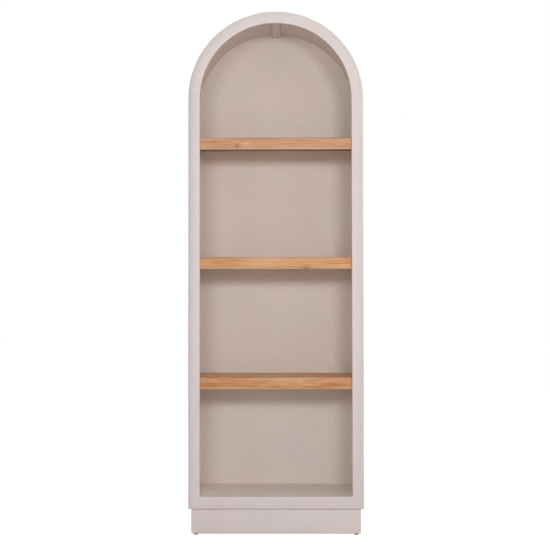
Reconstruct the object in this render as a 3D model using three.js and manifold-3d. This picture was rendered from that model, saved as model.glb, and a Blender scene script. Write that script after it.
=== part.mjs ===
// Arched bookcase: an open case with a round arched head, three thick shelves,
// a recessed plinth and four levelling feet that screw in and out.
// Millimetres, +Z up, +X to the right seen from the front, the front towards -Y.
// The origin is on the floor, at the centre of the footprint.

import * as THREE from "three";
import { mergeVertices } from "three/addons/utils/BufferGeometryUtils.js";
import Module from "manifold-3d";

const wasm = await Module();
wasm.setup();

// Fits
const glueGap = 0.1;
const fitGap = 0.3;
const overrun = 30;

// Case
const caseWidth = 712;
const caseDepth = 390;
const straightHeight = 1667;
const wallThickness = 15;
const backThickness = 9;
const rearEdgeRound = 2;

// Face frame, whose lip hides the walls. Its face slopes away to the outer edge in a flat curve
const frameThickness = 22;
const frameWidth = 47.5;
const railHeight = 53;
const frameShoulderWidth = 30;
const frameShoulderDepth = 9;
const frameInnerRound = 5;
const frameCleatWidth = 20;

// Deck, its bearers and the batten under the crown joint
const deckThickness = 18;
const sideBearerWidth = 30;
const endBearerWidth = 20;
const battenWidth = 37;
const battenThickness = 12;

// Shelves: a thick nosing in front of a thinner board, tongued into the side walls.
// The lowest compartment falls short of the shelves' pitch
const shelfCount = 3;
const topShelfDrop = 160;
const lowestShortfall = 7.6;
const nosingHeight = 48;
const nosingDepth = 45;
const nosingRound = 3;
const nosingEndGap = 1;
const shelfRecess = 6;
const shelfBoardThickness = 9;
const housingDepth = 6;
const tongueThickness = 5;

// Plinth
const plinthHeight = 98.5;
const plinthRecess = 12;
const plinthThickness = 12;
const plinthCornerRound = 5;
const plinthEdgeRound = 2;
const cornerBlockSize = 40;

// Levelling feet: a pad moulded on a threaded stem, in a flanged insert
const padRadius = 9;
const padTopRadius = 8;
const padHeight = 4.5;
const padEdgeRound = 1.2;
const padFloor = 1.5;
const stemRadius = 3;
const stemLength = 42;
const stemChamfer = 0.8;
const threadGap = 0.12;
const insertRadius = 4.5;
const insertLength = 20;
const insertEdge = 1.2;
const flangeRadius = 7;
const flangeThickness = 1.1;
const boreHeadroom = 6;

// Facets of the curved faces
const archSteps = 64;
const roundSteps = 5;
const smallRoundSteps = 3;
const turnedSteps = 20;

// Places worked out from the sizes above
const halfWidth = caseWidth / 2;
const openHalf = halfWidth - frameWidth;
const wallInner = halfWidth - wallThickness;
const frontY = -caseDepth / 2;
const rearY = caseDepth / 2;
const frameBackY = frontY + frameThickness;
const panelY = rearY - backThickness;
const innerFrontY = frameBackY + glueGap;
const innerRearY = panelY - glueGap;
const cleatInner = wallInner - frameCleatWidth;
const nosingFrontY = frontY + shelfRecess;
const nosingBackY = nosingFrontY + nosingDepth;
const topShelfHeight = straightHeight - topShelfDrop;
const shelfPitch = (topShelfHeight - railHeight + lowestShortfall) / shelfCount;
const plinthHalfWidth = halfWidth - plinthRecess;
const plinthHalfDepth = caseDepth / 2 - plinthRecess;
const blockOuterX = plinthHalfWidth - plinthThickness - glueGap;
const blockOuterY = plinthHalfDepth - plinthThickness - glueGap;
const insertSetback = insertRadius + fitGap + insertEdge;
const footX = blockOuterX - insertSetback;
const footY = blockOuterY - insertSetback;
const flangeBottom = padHeight + fitGap;
const plinthBottom = flangeBottom + flangeThickness + glueGap;
const caseBottom = plinthBottom + plinthHeight;

// Finishes
const paint = new THREE.MeshStandardMaterial({ color: 0xd0c2bb, roughness: 0.9, metalness: 0 });
const pine = new THREE.MeshStandardMaterial({ color: 0xc8986b, roughness: 0.65, metalness: 0 });
const rawWood = new THREE.MeshStandardMaterial({ color: 0xc9ad86, roughness: 0.8, metalness: 0 });
const steel = new THREE.MeshStandardMaterial({ color: 0x9b9c9e, roughness: 0.35, metalness: 1 });
const darkPlastic = new THREE.MeshStandardMaterial({ color: 0x2c2725, roughness: 0.6, metalness: 0 });

// Turns a drawing in the XY plane upright, so that its extrusion runs towards the front
const upright = new THREE.Matrix4().makeBasis(
  new THREE.Vector3(1, 0, 0),
  new THREE.Vector3(0, 0, 1),
  new THREE.Vector3(0, -1, 0),
);

// Turns a drawing in the XY plane into a section across Y and Z, extruded along X
const alongX = new THREE.Matrix4().makeBasis(
  new THREE.Vector3(0, 1, 0),
  new THREE.Vector3(0, 0, 1),
  new THREE.Vector3(1, 0, 0),
);

function toSolid(geometry) {
  const bare = geometry.clone();
  bare.deleteAttribute("normal");
  bare.deleteAttribute("uv");
  const merged = mergeVertices(bare);
  const vertProperties = new Float32Array(merged.attributes.position.array);
  const triVerts = new Uint32Array(merged.index.array);
  return new wasm.Manifold(new wasm.Mesh({ numProp: 3, vertProperties, triVerts }));
}

function toGeometry(solid) {
  const mesh = solid.getMesh();
  const geometry = new THREE.BufferGeometry();
  geometry.setAttribute("position", new THREE.BufferAttribute(mesh.vertProperties, 3));
  geometry.setIndex(new THREE.BufferAttribute(mesh.triVerts, 1));
  geometry.computeVertexNormals();
  return geometry;
}

function boxBetween(low, high) {
  const size = low.map((value, axis) => high[axis] - value);
  const middle = low.map((value, axis) => (high[axis] + value) / 2);
  return new THREE.BoxGeometry(...size).translate(...middle);
}

// The part of a solid that lies between two corners
function slice(solid, low, high) {
  return toGeometry(solid.intersect(toSolid(boxBetween(low, high))));
}

function addPiece(group, name, geometry, material) {
  const mesh = new THREE.Mesh(geometry, material);
  mesh.name = name;
  group.add(mesh);
  return mesh;
}

function addBoard(group, name, low, high, material) {
  const size = low.map((value, axis) => high[axis] - value);
  const middle = low.map((value, axis) => (high[axis] + value) / 2);
  const board = addPiece(group, name, new THREE.BoxGeometry(...size), material);
  board.position.set(...middle);
  return board;
}

// Mirror-image pieces: the name of each side and the way it lies along X
const sides = [["left", -1], ["right", 1]];

// The two corners of a box that is given for the right side, on either side
function onSide(way, low, high) {
  const [nearX, farX] = [low[0] * way, high[0] * way].sort((first, second) => first - second);
  return [[nearX, low[1], low[2]], [farX, high[1], high[2]]];
}

// An arched outline from its left foot over the crown to its right foot
function archOutline(half, foot) {
  const points = [[-half, foot]];
  for (let step = 0; step <= archSteps; step += 1) {
    const angle = Math.PI * (1 - step / archSteps);
    points.push([half * Math.cos(angle), straightHeight + half * Math.sin(angle)]);
  }
  points.push([half, foot]);
  return points;
}

// A closed frame lofted through arched outlines, each with its own size and depth
function loftArches(rings) {
  const positions = [];
  const faces = [];
  rings.forEach((ring) => {
    archOutline(ring.half, ring.foot).forEach(([x, z]) => positions.push(x, ring.depth, z));
  });
  const count = positions.length / (3 * rings.length);
  rings.forEach((_, ring) => {
    const next = (ring + 1) % rings.length;
    for (let step = 0; step < count; step += 1) {
      const after = (step + 1) % count;
      const [near, far] = [ring * count, next * count];
      faces.push(near + step, far + step, far + after);
      faces.push(near + step, far + after, near + after);
    }
  });
  const geometry = new THREE.BufferGeometry();
  geometry.setAttribute("position", new THREE.Float32BufferAttribute(positions, 3));
  geometry.setIndex(faces);
  return geometry;
}

// The section of the face frame, from the back of its outer edge round to the back of its opening
function faceFrameRings() {
  const rings = [{ half: halfWidth, foot: 0, depth: frameBackY }];
  for (let step = 0; step <= roundSteps; step += 1) {
    const angle = (Math.PI / 2) * (step / roundSteps);
    const inset = frameShoulderWidth * (1 - Math.cos(angle));
    const depth = frontY + frameShoulderDepth * (1 - Math.sin(angle));
    rings.push({ half: halfWidth - inset, foot: inset, depth });
  }
  for (let step = 0; step <= roundSteps; step += 1) {
    const angle = (Math.PI / 2) * (step / roundSteps);
    const inset = frameInnerRound * (1 - Math.sin(angle));
    const depth = frontY + frameInnerRound * (1 - Math.cos(angle));
    rings.push({ half: openHalf + inset, foot: railHeight - inset, depth });
  }
  rings.push({ half: openHalf, foot: railHeight, depth: frameBackY });
  return rings;
}

// The face frame is rounded as one and then parted at its joints
function addFaceFrame(group) {
  const frame = toSolid(loftArches(faceFrameRings()));
  const [nearY, farY] = [frontY - overrun, frameBackY + overrun];
  const outside = halfWidth + overrun;
  const top = straightHeight + outside;
  sides.forEach(([side, way]) => {
    const stile = onSide(way, [0, nearY, railHeight + glueGap], [outside, farY, straightHeight - glueGap]);
    const head = onSide(way, [glueGap / 2, nearY, straightHeight], [outside, farY, top]);
    addPiece(group, `stile_${side}`, slice(frame, ...stile), paint);
    addPiece(group, `arch_head_${side}`, slice(frame, ...head), paint);
  });
  const rail = slice(frame, [-outside, nearY, -overrun], [outside, farY, railHeight]);
  addPiece(group, "bottom_rail", rail, paint);
}

function shelfHeight(index) {
  return topShelfHeight - shelfPitch * (shelfCount - 1 - index);
}

// Side walls with a stopped housing for the tongue of each shelf board
function addSideWalls(group) {
  sides.forEach(([side, way]) => {
    const low = [wallInner, innerFrontY, 0];
    const high = [halfWidth, innerRearY, straightHeight - glueGap];
    let wall = toSolid(boxBetween(...onSide(way, low, high)));
    for (let index = 0; index < shelfCount; index += 1) {
      const foot = shelfHeight(index) - shelfBoardThickness;
      const from = [wallInner - overrun, nosingBackY, foot - glueGap];
      const to = [wallInner + housingDepth, panelY + overrun, foot + tongueThickness + fitGap];
      wall = wall.subtract(toSolid(boxBetween(...onSide(way, from, to))));
    }
    addPiece(group, `side_wall_${side}`, toGeometry(wall), paint);
  });
}

// Two bent quarter walls that meet at the crown
function addArchWalls(group) {
  const shape = new THREE.Shape();
  const quarter = Math.PI / 2;
  const joint = (radius) => Math.acos(glueGap / 2 / radius);
  shape.absarc(0, straightHeight, halfWidth, 0, joint(halfWidth), false);
  shape.absarc(0, straightHeight, wallInner, joint(wallInner), 0, true);
  const depth = innerRearY - innerFrontY;
  const curveSegments = archSteps * (quarter / Math.PI);
  const bent = new THREE.ExtrudeGeometry(shape, { depth, curveSegments, bevelEnabled: false });
  bent.applyMatrix4(upright).translate(0, innerRearY, 0);
  addPiece(group, "arch_wall_right", bent, paint);
  addPiece(group, "arch_wall_left", bent.clone().rotateZ(Math.PI).translate(0, innerFrontY + innerRearY, 0), paint);
}

// The back panel is planted on the rear edges of the walls and rounded with them
function addBackPanel(group) {
  const shape = new THREE.Shape();
  shape.moveTo(-halfWidth, 0);
  shape.lineTo(halfWidth, 0);
  shape.absarc(0, straightHeight, halfWidth, 0, Math.PI, false);
  const plate = new THREE.ExtrudeGeometry(shape, {
    depth: backThickness,
    curveSegments: archSteps,
    bevelThickness: rearEdgeRound,
    bevelSize: rearEdgeRound,
    bevelOffset: -rearEdgeRound,
    bevelSegments: smallRoundSteps,
  });
  plate.applyMatrix4(upright).translate(0, rearY - rearEdgeRound, 0);
  const outside = halfWidth + overrun;
  const low = [-outside, panelY, -overrun];
  const high = [outside, rearY + overrun, straightHeight + outside];
  addPiece(group, "back_panel", slice(toSolid(plate), low, high), paint);
}

// The batten covers the joint of the arch walls, from the face frame to the back panel
function addCrownBatten(group) {
  const seat = wallInner - fitGap;
  const half = battenWidth / 2;
  const underside = straightHeight + wallInner - battenThickness;
  const shape = new THREE.Shape();
  shape.moveTo(-half, underside);
  shape.lineTo(half, underside);
  shape.absarc(0, straightHeight, seat, Math.acos(half / seat), Math.acos(-half / seat), false);
  const batten = new THREE.ExtrudeGeometry(shape, {
    depth: innerRearY - innerFrontY,
    curveSegments: roundSteps,
    bevelEnabled: false,
  });
  addPiece(group, "crown_batten", batten.applyMatrix4(upright).translate(0, innerRearY, 0), paint);
}

// Cleats glued behind the stiles and the rail tie the face frame to the side walls
function addFrameCleats(group) {
  sides.forEach(([side, way]) => {
    const low = [cleatInner, innerFrontY, 0];
    const high = [wallInner - glueGap, nosingBackY, straightHeight - glueGap];
    addBoard(group, `frame_cleat_${side}`, ...onSide(way, low, high), rawWood);
  });
}

// The deck is notched at its front corners, where the cleats run down past it
function addDeck(group) {
  const half = wallInner - glueGap;
  const underside = railHeight - deckThickness;
  let deck = toSolid(boxBetween([-half, innerFrontY, underside], [half, innerRearY, railHeight]));
  sides.forEach(([, way]) => {
    const from = [cleatInner - fitGap, frontY, -overrun];
    const to = [halfWidth, nosingBackY + fitGap, railHeight + overrun];
    deck = deck.subtract(toSolid(boxBetween(...onSide(way, from, to))));
  });
  addPiece(group, "deck", toGeometry(deck), paint);
  addBearers(group, half, underside - glueGap);
}

// The side bearers run from the cleats to the back, the front one between the cleats
function addBearers(group, half, top) {
  const inner = half - sideBearerWidth;
  sides.forEach(([side, way]) => {
    const corners = onSide(way, [inner, nosingBackY + fitGap, 0], [half, innerRearY, top]);
    addBoard(group, `deck_bearer_${side}`, ...corners, rawWood);
  });
  const [frontReach, rearReach] = [cleatInner - glueGap, inner - glueGap];
  const frontEnd = innerFrontY + endBearerWidth;
  const rearEnd = innerRearY - endBearerWidth;
  addBoard(group, "deck_bearer_front", [-frontReach, innerFrontY, 0], [frontReach, frontEnd, top], rawWood);
  addBoard(group, "deck_bearer_rear", [-rearReach, rearEnd, 0], [rearReach, innerRearY, top], rawWood);
}

// The nosing's section, with its two front edges eased
function nosingSection() {
  const shape = new THREE.Shape();
  shape.moveTo(nosingDepth, -nosingHeight);
  shape.lineTo(nosingDepth, 0);
  shape.absarc(nosingRound, -nosingRound, nosingRound, Math.PI / 2, Math.PI, false);
  shape.absarc(nosingRound, nosingRound - nosingHeight, nosingRound, Math.PI, Math.PI * 1.5, false);
  return shape;
}

// A shelf board, whose ends have a tongue along their lower part
function shelfBoardGeometry() {
  const body = wallInner - fitGap;
  const tongue = body + housingDepth;
  const foot = -shelfBoardThickness;
  const shoulder = foot + tongueThickness;
  const shape = new THREE.Shape();
  shape.moveTo(-tongue, foot);
  shape.lineTo(tongue, foot);
  shape.lineTo(tongue, shoulder);
  shape.lineTo(body, shoulder);
  shape.lineTo(body, 0);
  shape.lineTo(-body, 0);
  shape.lineTo(-body, shoulder);
  shape.lineTo(-tongue, shoulder);
  const depth = innerRearY - nosingBackY - glueGap;
  const board = new THREE.ExtrudeGeometry(shape, { depth, bevelEnabled: false });
  return board.applyMatrix4(upright).translate(0, innerRearY, 0);
}

function addShelf(group, name) {
  const nosingHalf = openHalf - nosingEndGap;
  const nosing = new THREE.ExtrudeGeometry(nosingSection(), {
    depth: nosingHalf * 2,
    curveSegments: roundSteps,
    bevelEnabled: false,
  });
  nosing.applyMatrix4(alongX).translate(-nosingHalf, nosingFrontY, 0);
  addPiece(group, `${name}_nosing`, nosing, pine);
  addPiece(group, `${name}_board`, shelfBoardGeometry(), pine);
}

function addShelves(group) {
  ["lower", "middle", "upper"].slice(0, shelfCount).forEach((level, index) => {
    const shelf = new THREE.Group();
    shelf.position.z = shelfHeight(index);
    addShelf(shelf, `${level}_shelf`);
    group.add(shelf);
  });
}

function buildCase() {
  const group = new THREE.Group();
  group.position.z = caseBottom;
  addFaceFrame(group);
  addSideWalls(group);
  addArchWalls(group);
  addBackPanel(group);
  addCrownBatten(group);
  addFrameCleats(group);
  addDeck(group);
  addShelves(group);
  return group;
}

// A ring of four boards, seen from above, with rounded outer corners
function plinthPlan() {
  const [x, y, round] = [plinthHalfWidth, plinthHalfDepth, plinthCornerRound];
  const plan = new THREE.Shape();
  plan.absarc(x - round, y - round, round, 0, Math.PI / 2, false);
  plan.absarc(round - x, y - round, round, Math.PI / 2, Math.PI, false);
  plan.absarc(round - x, round - y, round, Math.PI, Math.PI * 1.5, false);
  plan.absarc(x - round, round - y, round, Math.PI * 1.5, Math.PI * 2, false);
  const [innerX, innerY] = [x - plinthThickness, y - plinthThickness];
  const hollow = new THREE.Path();
  hollow.moveTo(innerX, innerY);
  hollow.lineTo(innerX, -innerY);
  hollow.lineTo(-innerX, -innerY);
  hollow.lineTo(-innerX, innerY);
  hollow.closePath();
  plan.holes.push(hollow);
  return plan;
}

function addPlinthBoards(group) {
  const ring = new THREE.ExtrudeGeometry(plinthPlan(), {
    depth: plinthHeight,
    curveSegments: roundSteps,
    bevelThickness: plinthEdgeRound,
    bevelSize: plinthEdgeRound,
    bevelOffset: -plinthEdgeRound,
    bevelSegments: smallRoundSteps,
  });
  const boards = toSolid(ring.translate(0, 0, plinthEdgeRound));
  const top = plinthHeight - glueGap;
  const [outerX, outerY] = [plinthHalfWidth + overrun, plinthHalfDepth + overrun];
  const joint = plinthHalfDepth - plinthThickness;
  const between = joint - glueGap;
  const front = slice(boards, [-outerX, -outerY, -overrun], [outerX, -joint, top]);
  const rear = slice(boards, [-outerX, joint, -overrun], [outerX, outerY, top]);
  addPiece(group, "plinth_front", front, paint);
  addPiece(group, "plinth_rear", rear, paint);
  sides.forEach(([side, way]) => {
    const corners = onSide(way, [0, -between, -overrun], [outerX, between, top]);
    addPiece(group, `plinth_${side}`, slice(boards, ...corners), paint);
  });
}

// A corner block, drawn about its bore, with the bore open below
function cornerBlockGeometry(wayX, wayY) {
  const outer = insertSetback;
  const inner = cornerBlockSize - insertSetback;
  const xs = [-inner * wayX, outer * wayX].sort((first, second) => first - second);
  const ys = [-inner * wayY, outer * wayY].sort((first, second) => first - second);
  const top = plinthHeight - glueGap;
  const block = toSolid(boxBetween([xs[0], ys[0], 0], [xs[1], ys[1], top]));
  const boreTop = stemLength + boreHeadroom;
  const bore = new THREE.CylinderGeometry(
    insertRadius + fitGap,
    insertRadius + fitGap,
    boreTop + overrun,
    turnedSteps,
  );
  bore.rotateX(Math.PI / 2).translate(0, 0, (boreTop - overrun) / 2);
  return toGeometry(block.subtract(toSolid(bore)));
}

function turned(profile) {
  const points = profile.map(([radius, height]) => new THREE.Vector2(radius, height));
  return new THREE.LatheGeometry(points, turnedSteps).rotateX(Math.PI / 2);
}

function insertGeometry() {
  const bore = stemRadius + threadGap;
  const shoulder = flangeBottom + flangeThickness;
  const top = shoulder + insertLength;
  return turned([
    [bore, flangeBottom],
    [flangeRadius, flangeBottom],
    [flangeRadius, shoulder],
    [insertRadius, shoulder],
    [insertRadius, top],
    [bore, top],
    [bore, flangeBottom],
  ]);
}

function stemGeometry() {
  const foot = padFloor + glueGap;
  const top = padFloor + stemLength;
  return turned([
    [0, foot],
    [stemRadius, foot],
    [stemRadius, top - stemChamfer],
    [stemRadius - stemChamfer, top],
    [0, top],
  ]);
}

// The pad, with a rounded rim and a socket for the stem
function padGeometry() {
  const profile = [[0, 0]];
  for (let step = 0; step <= smallRoundSteps; step += 1) {
    const angle = (Math.PI / 2) * (step / smallRoundSteps);
    const radius = padRadius - padEdgeRound * (1 - Math.sin(angle));
    profile.push([radius, padEdgeRound * (1 - Math.cos(angle))]);
  }
  const socket = stemRadius + threadGap;
  profile.push([padTopRadius, padHeight], [socket, padHeight], [socket, padFloor], [0, padFloor]);
  return turned(profile);
}

function addFoot(group, place, wayX, wayY) {
  const foot = new THREE.Group();
  foot.position.set(footX * wayX, footY * wayY, 0);
  const block = addPiece(foot, `corner_block_${place}`, cornerBlockGeometry(wayX, wayY), rawWood);
  block.position.z = plinthBottom;
  addPiece(foot, `foot_insert_${place}`, insertGeometry(), steel);
  addPiece(foot, `foot_stem_${place}`, stemGeometry(), steel);
  addPiece(foot, `foot_pad_${place}`, padGeometry(), darkPlastic);
  group.add(foot);
}

function buildPlinth() {
  const group = new THREE.Group();
  group.position.z = plinthBottom;
  addPlinthBoards(group);
  return group;
}

function buildFeet() {
  const group = new THREE.Group();
  [["front", -1], ["rear", 1]].forEach(([end, wayY]) => {
    sides.forEach(([side, wayX]) => addFoot(group, `${end}_${side}`, wayX, wayY));
  });
  return group;
}

const bookcase = new THREE.Group();
bookcase.add(buildCase(), buildPlinth(), buildFeet());

export default bookcase;
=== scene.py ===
# Surface model of an arched bookcase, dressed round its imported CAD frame.
# Metres, +Z up, +X to the right seen from the front, the front towards -Y.

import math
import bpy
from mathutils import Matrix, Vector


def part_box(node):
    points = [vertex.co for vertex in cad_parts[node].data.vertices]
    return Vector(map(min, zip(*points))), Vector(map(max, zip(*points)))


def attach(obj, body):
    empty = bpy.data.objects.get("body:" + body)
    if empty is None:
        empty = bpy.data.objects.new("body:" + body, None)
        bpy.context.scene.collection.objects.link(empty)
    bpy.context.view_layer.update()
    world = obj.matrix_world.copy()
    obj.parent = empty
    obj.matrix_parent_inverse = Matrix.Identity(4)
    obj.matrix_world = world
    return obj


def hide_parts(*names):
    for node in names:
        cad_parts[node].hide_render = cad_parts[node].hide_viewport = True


bl_info = {
    "name": "Arched bookcase",
    "version": (1, 0, 0),
    "blender": (4, 5, 0),
    "location": "3D View > Sidebar > Bookcase",
    "description": "Dresses the frame of an arched bookcase with its smooth shapes and finishes",
    "category": "Object",
}

import bmesh
import bpy
from bpy.props import FloatProperty, FloatVectorProperty, IntProperty, PointerProperty
from mathutils import Matrix, Vector

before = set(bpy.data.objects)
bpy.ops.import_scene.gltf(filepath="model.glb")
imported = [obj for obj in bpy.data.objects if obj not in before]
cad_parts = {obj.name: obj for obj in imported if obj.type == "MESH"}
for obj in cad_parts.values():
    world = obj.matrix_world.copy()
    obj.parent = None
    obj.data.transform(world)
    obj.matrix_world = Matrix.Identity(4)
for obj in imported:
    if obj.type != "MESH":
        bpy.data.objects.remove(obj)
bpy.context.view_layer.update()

BODY = "case"
MILLIMETRE = 0.001
# Points nearer than this count as lying at one place
NEAR = 0.02 * MILLIMETRE
# Faces that meet at a smaller angle are shaded as one
SMOOTH_ANGLE = math.radians(32)
SHELVES = ("lower_shelf", "middle_shelf", "upper_shelf")
CORNERS = ("front_left", "front_right", "rear_left", "rear_right")
FRAME_NODES = ("stile_left", "stile_right", "arch_head_left", "arch_head_right", "bottom_rail")
PLINTH_NODES = ("plinth_front", "plinth_rear", "plinth_left", "plinth_right")


def linear(red, green, blue):
    """A colour written in screen values from 0 to 255, as the light that it stands for"""
    shares = (red / 255, green / 255, blue / 255)
    return tuple(((s + 0.055) / 1.055) ** 2.4 if s > 0.04045 else s / 12.92 for s in shares)


# Places read from the frame
CASE_LOW, CASE_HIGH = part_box("back_panel")
HALF_WIDTH = CASE_HIGH.x
CASE_BOTTOM = CASE_LOW.z
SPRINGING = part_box("arch_wall_right")[0].z
WALL = HALF_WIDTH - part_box("side_wall_right")[0].x
FRAME_LOW, FRAME_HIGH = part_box("stile_right")
FRAME_WIDTH = FRAME_HIGH.x - FRAME_LOW.x
RAIL_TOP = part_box("bottom_rail")[1].z


def length_property(name, description, usual, least, most):
    """A length that the user can set, with its limits, all in millimetres"""
    return FloatProperty(
        name=name, description=description, default=usual * MILLIMETRE,
        min=least * MILLIMETRE, max=most * MILLIMETRE, unit="LENGTH")


class BookcaseShapes(bpy.types.PropertyGroup):
    """Sizes of the smooth shapes that stand for the frame's faceted ones"""

    arch_steps: IntProperty(
        name="Arch steps", description="Facets round a whole circle of the arch",
        default=224, min=32, max=512)
    shoulder_width: length_property(
        "Shoulder width", "How far the face frame's outer curve reaches across its face", 30, 2, 40)
    shoulder_depth: length_property(
        "Shoulder depth", "How far the face frame's outer curve falls back at its edge", 9, 1, 20)
    inner_round: length_property("Inner rounding", "Radius of the edge round the opening", 2.5, 1, 20)
    rail_round: length_property("Rail rounding", "Radius of the bottom rail's upper front edge", 8, 1, 15)
    rear_round: length_property("Rear rounding", "Radius of the back panel's outer edge", 2, 0.5, 6)
    nosing_round: length_property("Nosing rounding", "Radius of a shelf nosing's two front edges", 3, 0.5, 10)
    eased: length_property("Eased edge", "Radius of an edge that is only sanded", 0.7, 0.2, 3)
    plinth_round: length_property("Plinth corner", "Radius of the plinth's upright corners", 5, 1, 12)
    plinth_board: length_property("Plinth board", "Thickness of the plinth's boards", 12, 6, 30)
    plinth_ease: length_property("Plinth edge", "Radius of its outer edges above and below", 2, 0.5, 5)
    thread_pitch: length_property("Thread pitch", "Rise of a foot's thread in one turn", 1, 0.5, 2)
    thread_depth: length_property("Thread depth", "Height of a foot's thread over its core", 0.5, 0.2, 1)
    screw_head: length_property("Screw head", "Radius of the screws in the back panel", 3.6, 2, 6)
    screw_rise: length_property("Screw rise", "How far the screws stand above the back panel", 0.4, 0.1, 1)
    screw_inset: length_property(
        "Screw inset", "Distance of the screws from the back panel's edge", 7.5, 4, 30)


def colour_property(name, description, default):
    """A colour that the user can set"""
    return FloatVectorProperty(
        name=name, description=description, default=default, size=3, min=0, max=1, subtype="COLOR")


def power_property(name, lamp, watts):
    """The power of a lamp that the user can set, in watts"""
    return FloatProperty(name=name, description=f"Power of the {lamp}, in watts", default=watts, min=0)


class BookcaseFinishes(bpy.types.PropertyGroup):
    """Colours of the bookcase's finishes"""

    paint: colour_property("Limewash", "Painted face frame and plinth", linear(226, 214, 213))
    paint_inside: colour_property("Limewash inside", "Painted walls and back", linear(227, 216, 210))
    # Painted light: the deck's paint is lighter than the walls' to stand in for light on its upward face
    paint_deck_lit: colour_property("Limewash on the deck", "Painted deck", linear(246, 240, 236))
    paint_cool: colour_property("Limewash, cool", "Faint cooler clouds in the paint", linear(252, 254, 253))
    paint_warm: colour_property("Limewash, warm", "Faint warmer clouds in the paint", linear(255, 252, 252))
    pine: colour_property("Pine", "Early wood of the shelves", linear(222, 180, 145))
    pine_dark: colour_property("Pine, dark", "Late wood of the shelves", linear(188, 119, 62))
    # Painted highlight: the paler colour of the nosings' rounded lower edge, where light catches it
    pine_worn: colour_property("Pine, worn", "Sanded lower edge of the shelves", linear(216, 192, 172))
    # Painted shade: the dark colour of the nosings' underside, which no light reaches
    pine_under: colour_property("Pine, underneath", "Unsanded underside of the shelves", linear(112, 80, 58))
    knot: colour_property("Knot", "Heart of a knot", linear(120, 78, 62))
    raw_wood: colour_property("Raw wood", "Unfinished wood inside the case", linear(206, 182, 146))
    raw_wood_dark: colour_property("Raw wood, dark", "Late wood of the raw wood", linear(178, 146, 106))
    steel: colour_property("Zinc", "Zinc plated screws, stems and inserts", linear(168, 169, 172))
    plastic: colour_property("Dark plastic", "Moulded foot pads", linear(20, 18, 18))


class BookcaseStudio(bpy.types.PropertyGroup):
    """Camera, lamps and background"""

    lens: FloatProperty(
        name="Lens", description="Focal length on a 36 mm sensor, in millimetres",
        default=82.62, min=20, max=300)
    camera_place: FloatVectorProperty(
        name="Camera", description="Where the camera stands", default=(0.0576, -5.3103, 0.9116),
        size=3, subtype="TRANSLATION", unit="LENGTH")
    camera_turn: FloatVectorProperty(
        name="Camera turn", description="Pitch, roll and yaw of the camera",
        default=tuple(math.radians(angle) for angle in (91.5694, 0.0685, 0.6817)),
        size=3, subtype="EULER", unit="ROTATION")
    key_left: power_property("Left softbox", "lamp left of the camera", 40)
    key_right: power_property("Right softbox", "lamp right of the camera", 51)
    key_height: FloatProperty(
        name="Softbox height", description="Height of both softboxes", default=1.77, min=0, unit="LENGTH")
    low: power_property("Low lamp", "wide lamp near the floor", 17.5)
    wide: power_property("Wide lamps", "lamps far out on both sides", 14)
    right: power_property("Right lamp", "lamp right of the case", 22.5)
    canopy: power_property("Canopy", "lamp above and before the case", 11.5)
    upper: power_property("Upper lamp", "lamp high on the right", 11)
    overhead: power_property("Overhead lamp", "highest lamp", 20)
    side: power_property("Side lamps", "wide lamps behind both sides", 52)
    rear: power_property("Rear lamp", "lamp behind", 75)
    ambient: FloatProperty(
        name="Ambient", description="Strength of the even light all round", default=0.01, min=0)
    floor_lift: FloatProperty(
        name="Floor lift", description="Glow that brings the lit floor up to white", default=0.9, min=0)


# Modelling helpers


def hold(piece):
    """Make a piece the only one selected"""
    bpy.ops.object.select_all(action="DESELECT")
    piece.select_set(True)
    bpy.context.view_layer.objects.active = piece


def new_piece(name, add, **settings):
    """Add a primitive on its own and take it as a piece, with its place in its mesh"""
    bpy.ops.object.select_all(action="DESELECT")
    add(**settings)
    piece = bpy.context.active_object
    piece.name = name
    piece.data.name = name
    bpy.ops.object.transform_apply()
    return piece


def edit(piece):
    """Open a piece for editing, with nothing of it selected"""
    hold(piece)
    bpy.ops.object.mode_set(mode="EDIT")
    bpy.ops.mesh.select_all(action="DESELECT")


def leave_edit():
    bpy.ops.object.mode_set(mode="OBJECT")


def pick(kind, wanted):
    """Select the vertices, edges or faces whose corners all lie where they are wanted"""
    bpy.ops.mesh.select_mode(type={"verts": "VERT", "edges": "EDGE", "faces": "FACE"}[kind])
    bpy.ops.mesh.select_all(action="DESELECT")
    mesh = bpy.context.edit_object.data
    shape = bmesh.from_edit_mesh(mesh)
    for part in getattr(shape, kind):
        corners = [part] if kind == "verts" else part.verts
        if all(wanted(corner.co) for corner in corners):
            part.select_set(True)
    bmesh.update_edit_mesh(mesh)


def shift(*way):
    bpy.ops.transform.translate(value=way)


def extrude(*way):
    bpy.ops.mesh.extrude_region_move(TRANSFORM_OT_translate={"value": way})


def close_up():
    """Merge what lies together and turn all faces outwards"""
    bpy.ops.mesh.select_all(action="SELECT")
    bpy.ops.mesh.remove_doubles(threshold=NEAR / 4)
    bpy.ops.mesh.normals_make_consistent(inside=False)


def at(value, place):
    return abs(value - place) < NEAR


def apply_modifier(piece, kind, **settings):
    hold(piece)
    modifier = piece.modifiers.new(kind.title(), kind)
    for name, value in settings.items():
        setattr(modifier, name, value)
    bpy.ops.object.modifier_apply(modifier=modifier.name)


def dress(piece, finish, body=BODY, replaced=()):
    """Smooth a finished piece, give it its finish and hand it to its body"""
    hold(piece)
    bpy.ops.object.shade_smooth_by_angle(angle=SMOOTH_ANGLE)
    piece.data.materials.clear()
    piece.data.materials.append(bpy.data.materials[finish])
    if replaced:
        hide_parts(*replaced)
    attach(piece, body)


def add_board(name, low, high):
    """A board between two corners"""
    return new_piece(
        name, bpy.ops.mesh.primitive_cube_add, size=1, location=(low + high) / 2, scale=high - low)


def copy_piece(piece, name, place):
    """A copy with its own mesh, moved from the origin to its place"""
    twin = piece.copy()
    twin.data = piece.data.copy()
    twin.name = twin.data.name = name
    twin.data.transform(Matrix.Translation(place))
    bpy.context.collection.objects.link(twin)
    return twin


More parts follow.
